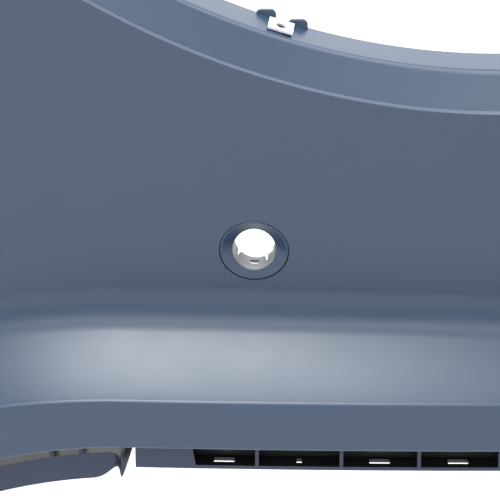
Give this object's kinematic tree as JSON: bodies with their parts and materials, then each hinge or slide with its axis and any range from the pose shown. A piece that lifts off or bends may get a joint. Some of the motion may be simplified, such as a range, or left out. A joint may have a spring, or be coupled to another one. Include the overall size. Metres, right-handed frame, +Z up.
{
  "type": "bumper cover",
  "caption": "Full-width primed rear bumper cover with flared lower edge, sensor openings, hatch flange with fixings, ribbed lower rail, arch rivets and hinged towing-eye cap.",
  "frame": {"origin": "middle of the bounding box's bottom, on the floor the cover stands on", "axes": "+X to the right seen from behind the car, -Y rearwards (the outer face), +Z up"},
  "size_m": [1.8174, 0.591, 0.5311],
  "materials": {
    "primed_plastic": "satin blue-grey primer",
    "primed_rail": "thin blue-grey primer over black plastic",
    "grey_plastic": "moulded grey",
    "black_plastic": "moulded black with light grain",
    "zinc_screws": "zinc plated",
    "spring_nut": "light grey coating"
  },
  "bodies": {
    "cover": {"fascia_skin": "primed_plastic", "lower_rail_centre": "primed_rail", "lower_rail_wing_left": "primed_rail", "lower_rail_wing_right": "primed_rail", "rail_screws": "zinc_screws", "flange_spring_nuts": "spring_nut", "sensor_ring_outer_left": "primed_plastic", "sensor_bracket_outer_left": "grey_plastic", "sensor_ring_inner_left": "primed_plastic", "sensor_bracket_inner_left": "grey_plastic", "sensor_ring_inner_right": "primed_plastic", "sensor_bracket_inner_right": "grey_plastic", "sensor_ring_outer_right": "primed_plastic", "sensor_bracket_outer_right": "grey_plastic", "side_retainer_left": "black_plastic", "side_retainer_right": "black_plastic", "lamp_bracket_left": "black_plastic", "lamp_bracket_right": "black_plastic", "side_retainer_screws": "zinc_screws", "lamp_bracket_screws": "zinc_screws", "arch_rivet_bodies": "black_plastic", "tow_eye_frame": "black_plastic", "tow_eye_hinge_pin": "zinc_screws"},
    "tow_cap": {"tow_eye_cap": "primed_plastic"},
    "pin_upper_left": {"arch_rivet_pin_upper_left": "black_plastic"},
    "pin_lower_left": {"arch_rivet_pin_lower_left": "black_plastic"},
    "pin_upper_right": {"arch_rivet_pin_upper_right": "black_plastic"},
    "pin_lower_right": {"arch_rivet_pin_lower_right": "black_plastic"}
  },
  "joints": [
    {"name": "tow_eye_cap_hinge", "type": "hinge", "parent": "cover", "child": "tow_cap", "pos_m": [0.53892, -0.23084, 0.2785], "axis": [0.9774, 0.2114, 0], "range_deg": [0, 85]},
    {"name": "arch_rivet_upper_left_pull", "type": "slide", "parent": "cover", "child": "pin_upper_left", "axis": [0, 0.788, -0.6157], "range_m": [0, 0.006]},
    {"name": "arch_rivet_lower_left_pull", "type": "slide", "parent": "cover", "child": "pin_lower_left", "axis": [0, 0.9781, 0.2079], "range_m": [0, 0.006]},
    {"name": "arch_rivet_upper_right_pull", "type": "slide", "parent": "cover", "child": "pin_upper_right", "axis": [0, 0.788, -0.6157], "range_m": [0, 0.006]},
    {"name": "arch_rivet_lower_right_pull", "type": "slide", "parent": "cover", "child": "pin_lower_right", "axis": [0, 0.9781, 0.2079], "range_m": [0, 0.006]}
  ]
}
